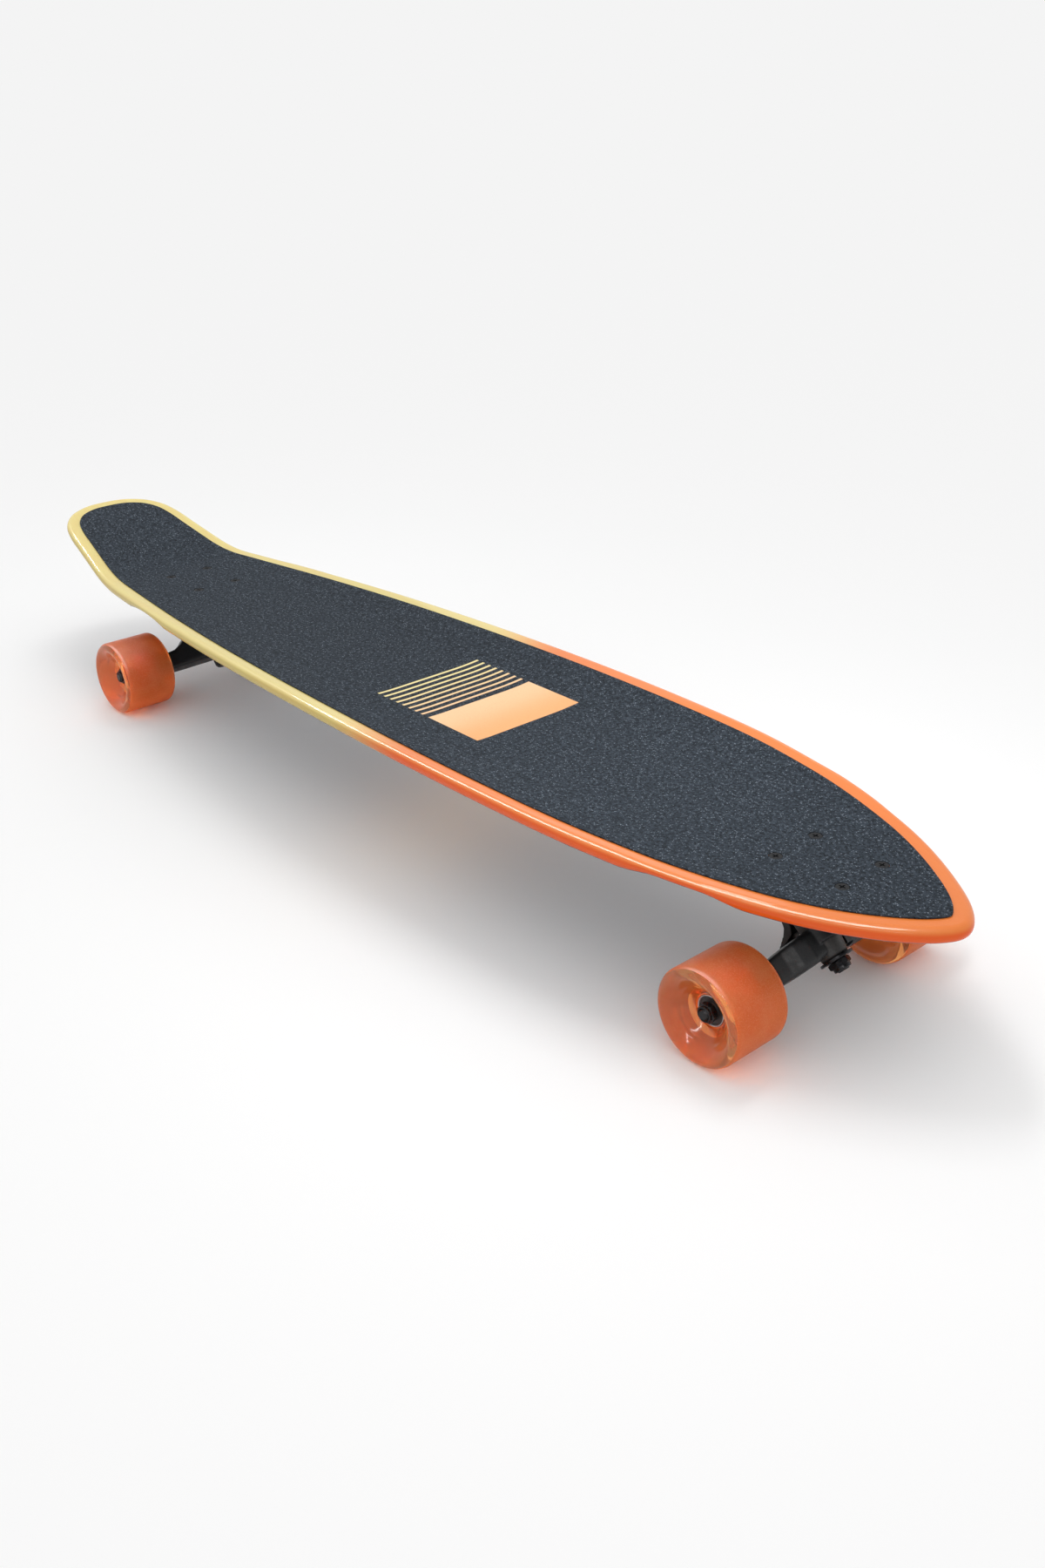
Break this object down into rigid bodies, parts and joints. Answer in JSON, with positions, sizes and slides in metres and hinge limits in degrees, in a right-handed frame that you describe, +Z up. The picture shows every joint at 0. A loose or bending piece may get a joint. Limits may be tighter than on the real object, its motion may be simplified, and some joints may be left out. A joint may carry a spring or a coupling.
{
  "type": "longboard skateboard",
  "caption": "Kicktail longboard with a concave grip-taped deck, sprung reverse-kingpin trucks and free-rolling urethane wheels.",
  "frame": {"origin": "on the floor, under the middle of the board's bounding box", "axes": "+X towards the nose, +Y to the left of a rider who looks at the nose, +Z up"},
  "size_m": [1.092, 0.235, 0.1479],
  "materials": {
    "deck": "pressed wood under gloss paint that fades from orange at the nose to pale yellow at the tail",
    "grip": null,
    "truck_metal": "satin black coated casting",
    "black_steel": "black oxide steel",
    "rubber": "matt black rubber",
    "bushing": "black urethane, semi-matt",
    "wheel_urethane": "translucent orange urethane with a ground tread and glossy faces",
    "wheel_core": "orange moulded hub",
    "bearing_steel": "ground steel races with black shields"
  },
  "bodies": {
    "board": {"deck": "deck", "grip_tape": "grip", "baseplate_front": "truck_metal", "riser_pad_front": "rubber", "pivot_cup_front": "rubber", "kingpin_front": "black_steel", "kingpin_nut_front": "black_steel", "washer_boardside_front": "black_steel", "washer_roadside_front": "black_steel", "bushing_boardside_front": "bushing", "bushing_roadside_front": "bushing", "mount_bolt_front_1": "black_steel", "mount_bolt_front_2": "black_steel", "mount_bolt_front_3": "black_steel", "mount_bolt_front_4": "black_steel", "mount_nut_front_1": "black_steel", "mount_nut_front_2": "black_steel", "mount_nut_front_3": "black_steel", "mount_nut_front_4": "black_steel", "baseplate_rear": "truck_metal", "riser_pad_rear": "rubber", "pivot_cup_rear": "rubber", "kingpin_rear": "black_steel", "kingpin_nut_rear": "black_steel", "washer_boardside_rear": "black_steel", "washer_roadside_rear": "black_steel", "bushing_boardside_rear": "bushing", "bushing_roadside_rear": "bushing", "mount_bolt_rear_1": "black_steel", "mount_bolt_rear_2": "black_steel", "mount_bolt_rear_3": "black_steel", "mount_bolt_rear_4": "black_steel", "mount_nut_rear_1": "black_steel", "mount_nut_rear_2": "black_steel", "mount_nut_rear_3": "black_steel", "mount_nut_rear_4": "black_steel"},
    "truck_front": {"hanger_front": "truck_metal", "axle_front": "black_steel", "axle_nut_front_left": "black_steel", "axle_nut_front_right": "black_steel"},
    "truck_rear": {"hanger_rear": "truck_metal", "axle_rear": "black_steel", "axle_nut_rear_left": "black_steel", "axle_nut_rear_right": "black_steel"},
    "wheel_front_left": {"tyre_front_left": "wheel_urethane", "core_front_left": "wheel_core", "bearing_inner_front_left": "bearing_steel", "bearing_outer_front_left": "bearing_steel"},
    "wheel_front_right": {"tyre_front_right": "wheel_urethane", "core_front_right": "wheel_core", "bearing_inner_front_right": "bearing_steel", "bearing_outer_front_right": "bearing_steel"},
    "wheel_rear_left": {"tyre_rear_left": "wheel_urethane", "core_rear_left": "wheel_core", "bearing_inner_rear_left": "bearing_steel", "bearing_outer_rear_left": "bearing_steel"},
    "wheel_rear_right": {"tyre_rear_right": "wheel_urethane", "core_rear_right": "wheel_core", "bearing_inner_rear_right": "bearing_steel", "bearing_outer_rear_right": "bearing_steel"}
  },
  "joints": [
    {"name": "steer_front", "type": "hinge", "parent": "board", "child": "truck_front", "pos_m": [0.4381, 0, 0.053], "axis": [0.6428, 0, 0.766], "range_deg": [-15, 15], "stiffness_Nm_per_rad": 30, "deforming": ["bushing_boardside_front", "bushing_roadside_front"]},
    {"name": "steer_rear", "type": "hinge", "parent": "board", "child": "truck_rear", "pos_m": [-0.3441, 0, 0.053], "axis": [-0.6428, 0, 0.766], "range_deg": [-15, 15], "stiffness_Nm_per_rad": 30, "deforming": ["bushing_boardside_rear", "bushing_roadside_rear"]},
    {"name": "spin_front_left", "type": "hinge", "parent": "truck_front", "child": "wheel_front_left", "pos_m": [0.4321, 0.0895, 0.035], "axis": [0, 1, 0], "continuous": true},
    {"name": "spin_front_right", "type": "hinge", "parent": "truck_front", "child": "wheel_front_right", "pos_m": [0.4321, -0.0895, 0.035], "axis": [0, 1, 0], "continuous": true},
    {"name": "spin_rear_left", "type": "hinge", "parent": "truck_rear", "child": "wheel_rear_left", "pos_m": [-0.3381, 0.0895, 0.035], "axis": [0, 1, 0], "continuous": true},
    {"name": "spin_rear_right", "type": "hinge", "parent": "truck_rear", "child": "wheel_rear_right", "pos_m": [-0.3381, -0.0895, 0.035], "axis": [0, 1, 0], "continuous": true}
  ]
}
